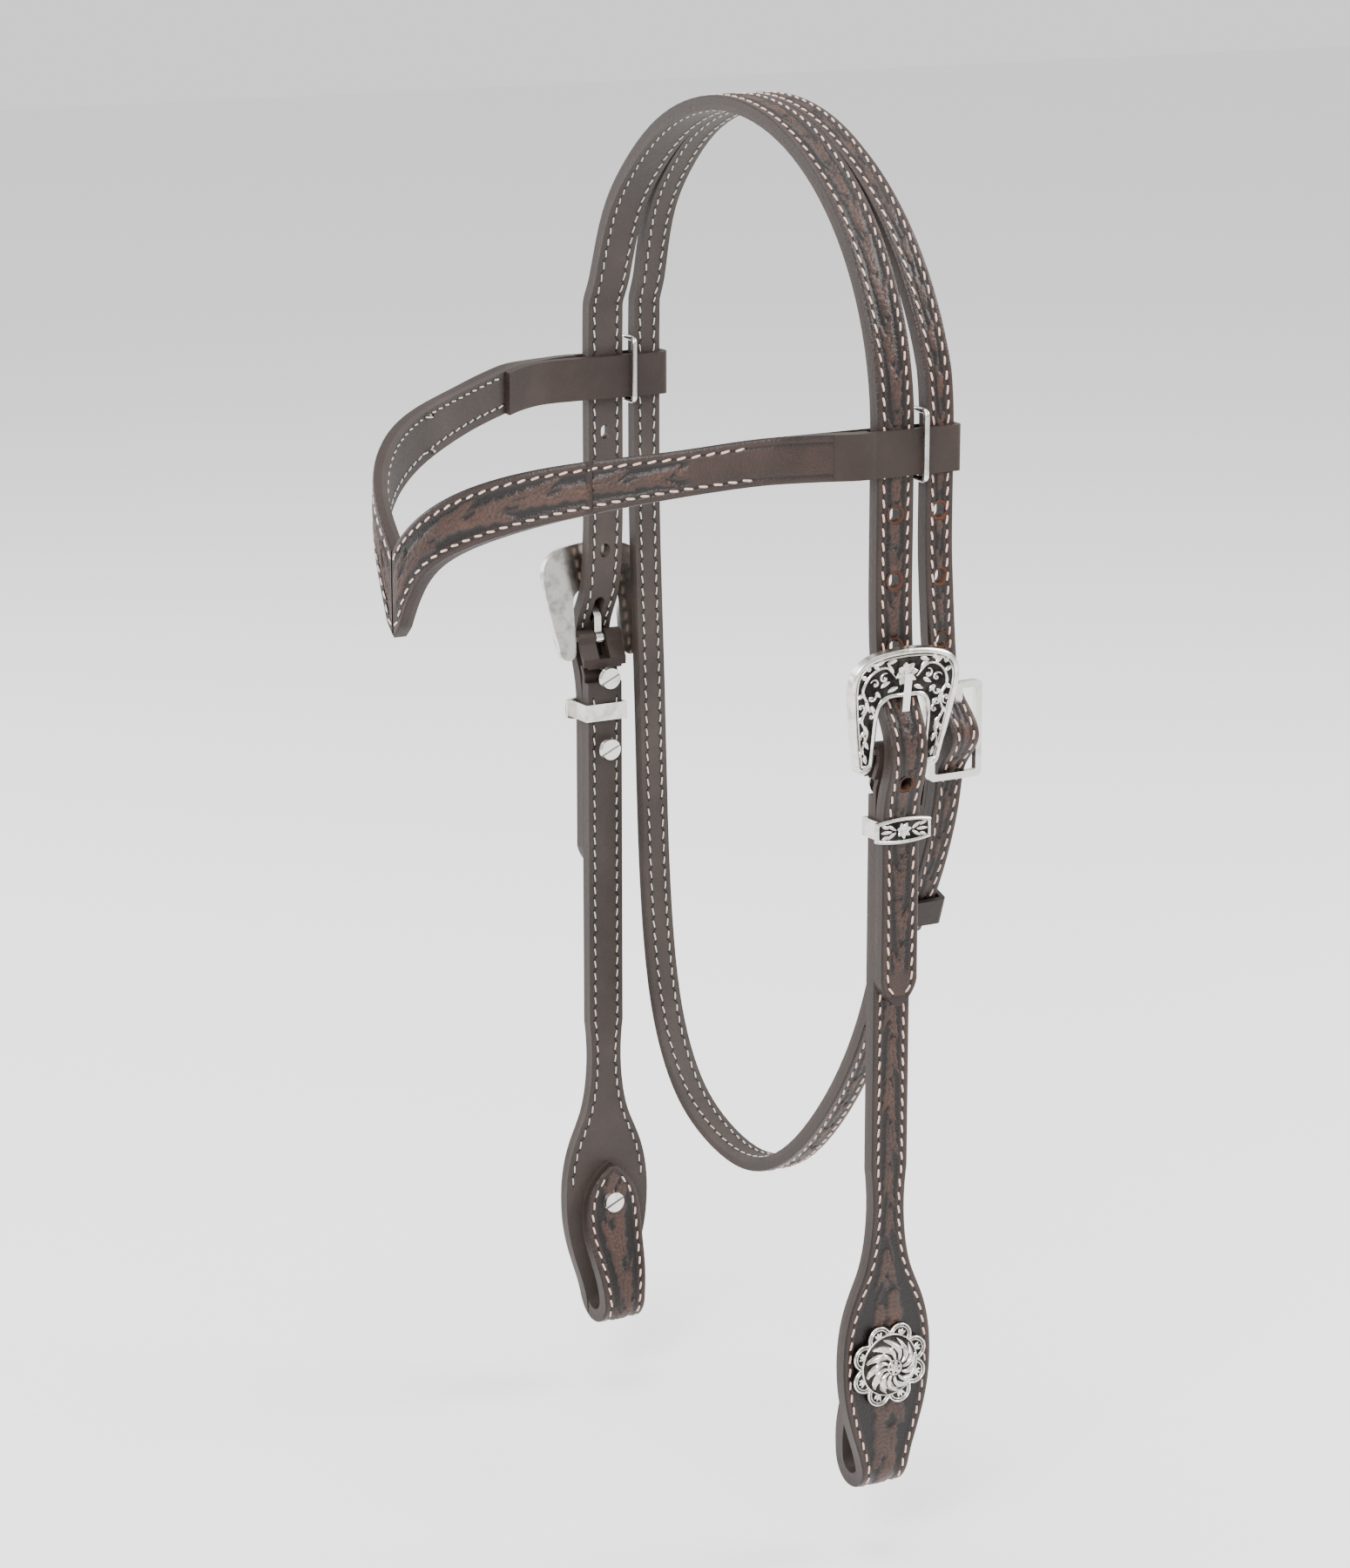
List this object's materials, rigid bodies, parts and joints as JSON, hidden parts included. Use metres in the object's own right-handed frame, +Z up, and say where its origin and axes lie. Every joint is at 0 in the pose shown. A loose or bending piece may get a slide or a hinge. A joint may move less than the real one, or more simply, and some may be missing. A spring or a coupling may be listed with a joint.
{
  "type": "western headstall",
  "caption": "Western headstall with a V browband, slit crown, throatlatch, engraved cheek buckles, keepers and conchos, and folded bit loops.",
  "frame": {"origin": "middle of the crown's underside, where it rests on the poll", "axes": "+Z up, -Y the way the horse faces, +X the horse's near (left) side"},
  "size_m": [0.2494, 0.1923, 0.5312],
  "materials": {
    "leather_skin": "satin",
    "leather_lining": "matte",
    "antique_silver": "satin",
    "nickel": "gloss"
  },
  "bodies": {
    "headstall": {"crown_outer": "leather_skin", "crown_lining": "leather_lining", "throat_buckle": "nickel", "near_cheek_strap": "leather_skin", "near_cheek_lining": "leather_lining", "near_cheek_buckle": "antique_silver", "near_upper_post": "nickel", "near_upper_screw": "nickel", "near_lower_post": "nickel", "near_lower_screw": "nickel", "far_cheek_strap": "leather_skin", "far_cheek_lining": "leather_lining", "far_cheek_buckle": "antique_silver", "far_upper_post": "nickel", "far_upper_screw": "nickel", "far_lower_post": "nickel", "far_lower_screw": "nickel"},
    "browband": {"browband_outer": "leather_skin", "browband_lining": "leather_lining"},
    "throat_prong_body": {"throat_prong": "nickel"},
    "throat_keeper_body": {"throat_keeper": "leather_skin"},
    "near_ring": {"near_browband_ring": "nickel"},
    "near_keeper": {"near_cheek_keeper": "antique_silver"},
    "near_prong": {"near_cheek_prong": "nickel"},
    "near_concho_body": {"near_concho": "antique_silver", "near_bit_screw": "nickel"},
    "far_ring": {"far_browband_ring": "nickel"},
    "far_keeper": {"far_cheek_keeper": "antique_silver"},
    "far_prong": {"far_cheek_prong": "nickel"},
    "far_concho_body": {"far_concho": "antique_silver", "far_bit_screw": "nickel"}
  },
  "joints": [
    {"name": "browband_slide", "type": "slide", "parent": "headstall", "child": "browband", "axis": [0, 0, 1], "range_m": [-0.01, 0.004]},
    {"name": "throat_prong_hinge", "type": "hinge", "parent": "headstall", "child": "throat_prong_body", "pos_m": [0.1105, 0.023, -0.2255], "axis": [0, 1, 0], "range_deg": [0, 4]},
    {"name": "throat_keeper_slide", "type": "slide", "parent": "headstall", "child": "throat_keeper_body", "axis": [0.36, 0, 0.933], "range_m": [-0.004, 0.005]},
    {"name": "near_ring_slide", "type": "slide", "parent": "browband", "child": "near_ring", "axis": [0, 1, 0], "range_m": [-0.0012, 0.0012]},
    {"name": "near_keeper_slide", "type": "slide", "parent": "headstall", "child": "near_keeper", "axis": [0, 0, 1], "range_m": [-0.004, 0.0018]},
    {"name": "near_prong_hinge", "type": "hinge", "parent": "headstall", "child": "near_prong", "pos_m": [0.1155, -0.006, -0.228], "axis": [0, 1, 0], "range_deg": [0, 4]},
    {"name": "near_concho_turn", "type": "hinge", "parent": "headstall", "child": "near_concho_body", "pos_m": [0.114, -0.006, -0.4735], "axis": [1, 0, 0], "continuous": true},
    {"name": "far_ring_slide", "type": "slide", "parent": "browband", "child": "far_ring", "axis": [0, 1, 0], "range_m": [-0.0012, 0.0012]},
    {"name": "far_keeper_slide", "type": "slide", "parent": "headstall", "child": "far_keeper", "axis": [0, 0, 1], "range_m": [-0.004, 0.0018]},
    {"name": "far_prong_hinge", "type": "hinge", "parent": "headstall", "child": "far_prong", "pos_m": [-0.1155, -0.006, -0.228], "axis": [0, -1, 0], "range_deg": [0, 4]},
    {"name": "far_concho_turn", "type": "hinge", "parent": "headstall", "child": "far_concho_body", "pos_m": [-0.114, -0.006, -0.4735], "axis": [-1, 0, 0], "continuous": true}
  ]
}
